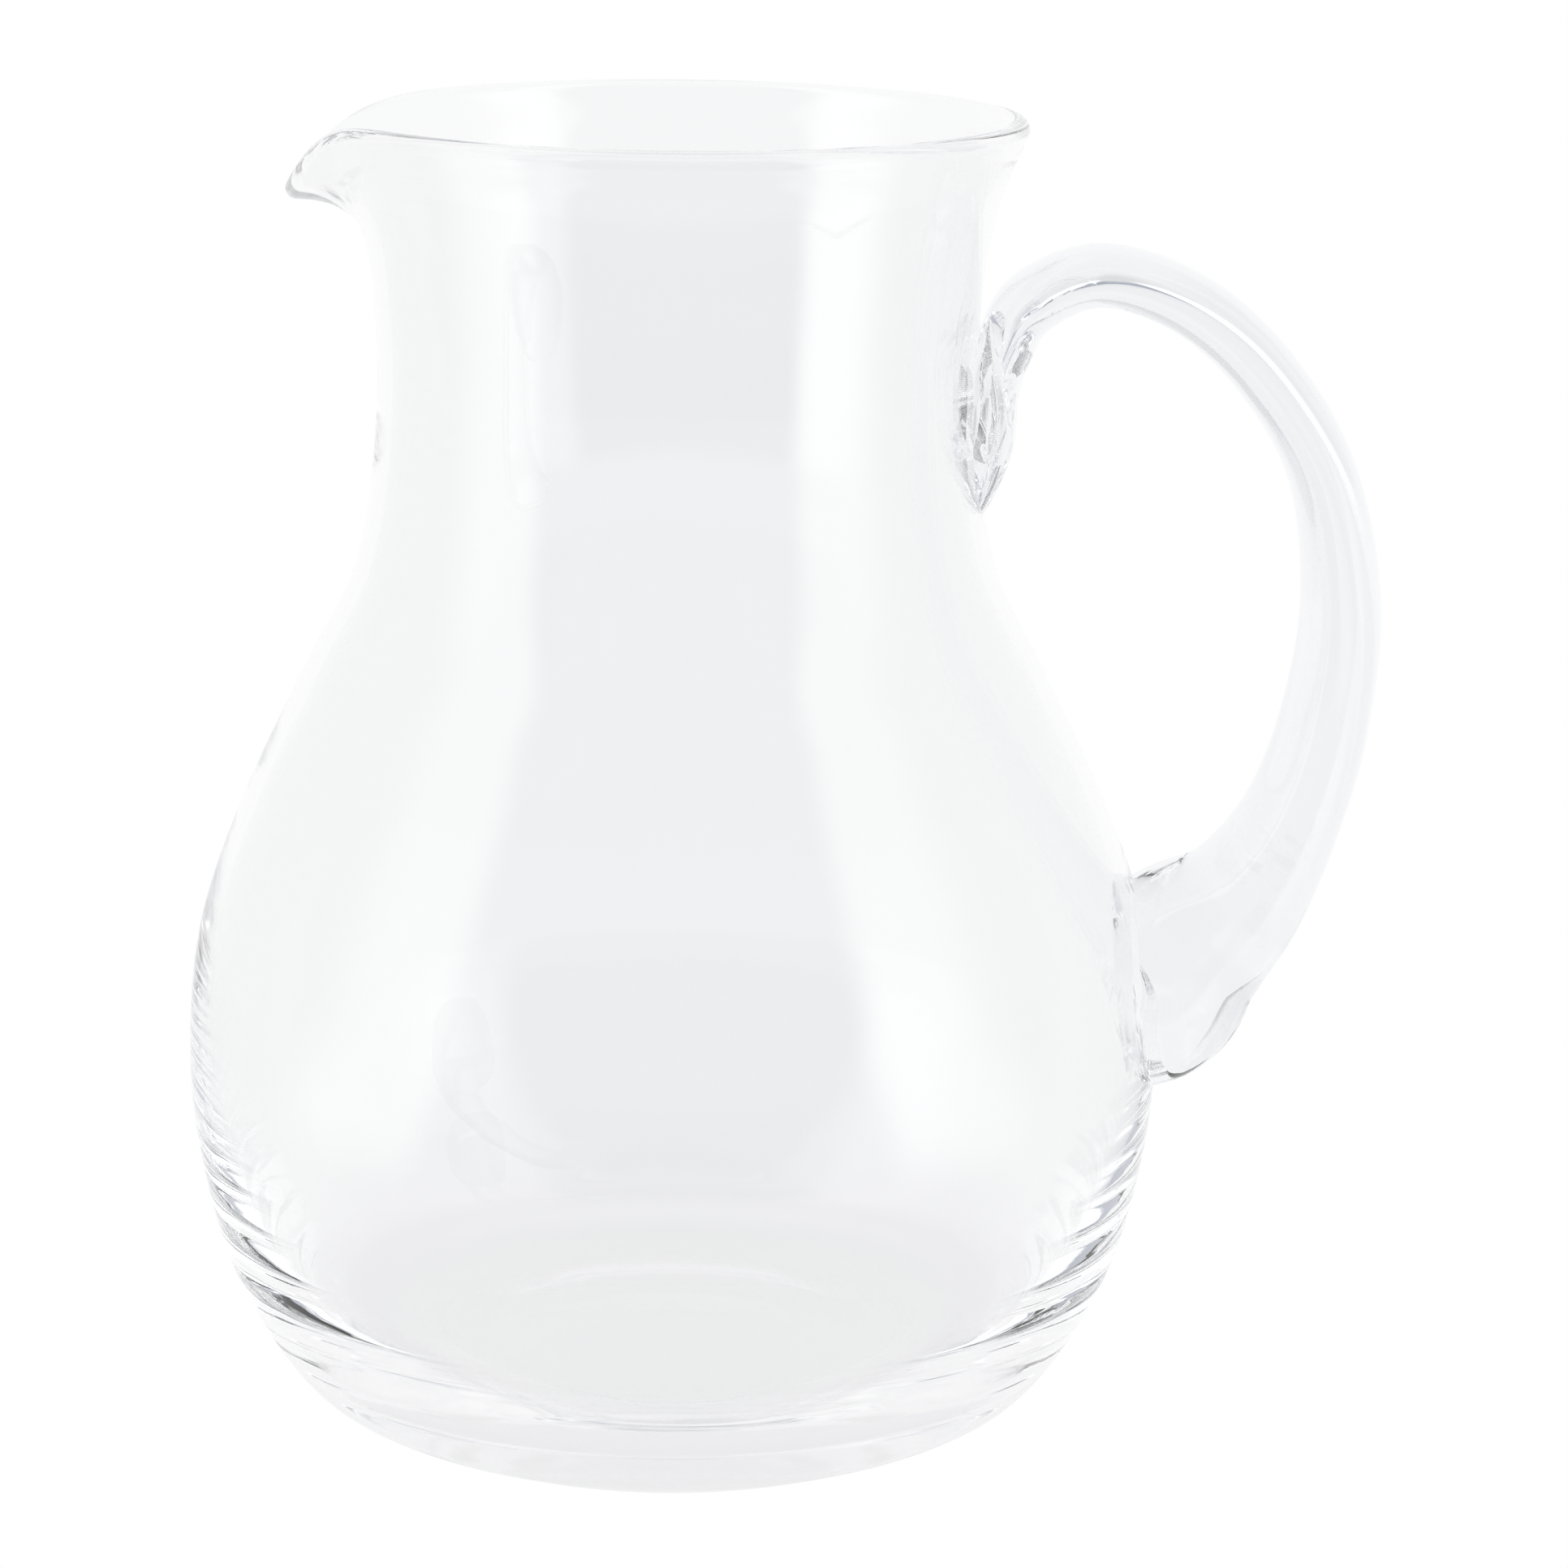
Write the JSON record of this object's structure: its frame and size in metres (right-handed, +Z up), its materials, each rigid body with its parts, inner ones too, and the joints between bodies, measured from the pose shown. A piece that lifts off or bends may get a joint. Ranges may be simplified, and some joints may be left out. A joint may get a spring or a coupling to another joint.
{
  "type": "water jug",
  "caption": "Clear blown-glass water jug, pear-shaped on a thick solid base, with a flared rim, a pulled pouring lip and an applied looped strap handle.",
  "frame": {"origin": "on the surface that the jug stands on, under the middle of the box round the whole jug; the vessel's own axis is the vertical line at x = -0.0162 m, y = 0", "axes": "+Z up along the vessel's axis; the handle stands out along +X and the pouring lip points along -X; the X-Z plane is the plane of symmetry"},
  "size_m": [0.1824, 0.15, 0.2042],
  "materials": {
    "body_glass": "clear, fire-polished blown glass with a faint cool tint",
    "handle_glass": "clear, fire-polished drawn glass with a faint cool tint"
  },
  "bodies": {
    "root": {"glass_body": "body_glass", "handle": "handle_glass"}
  },
  "joints": []
}
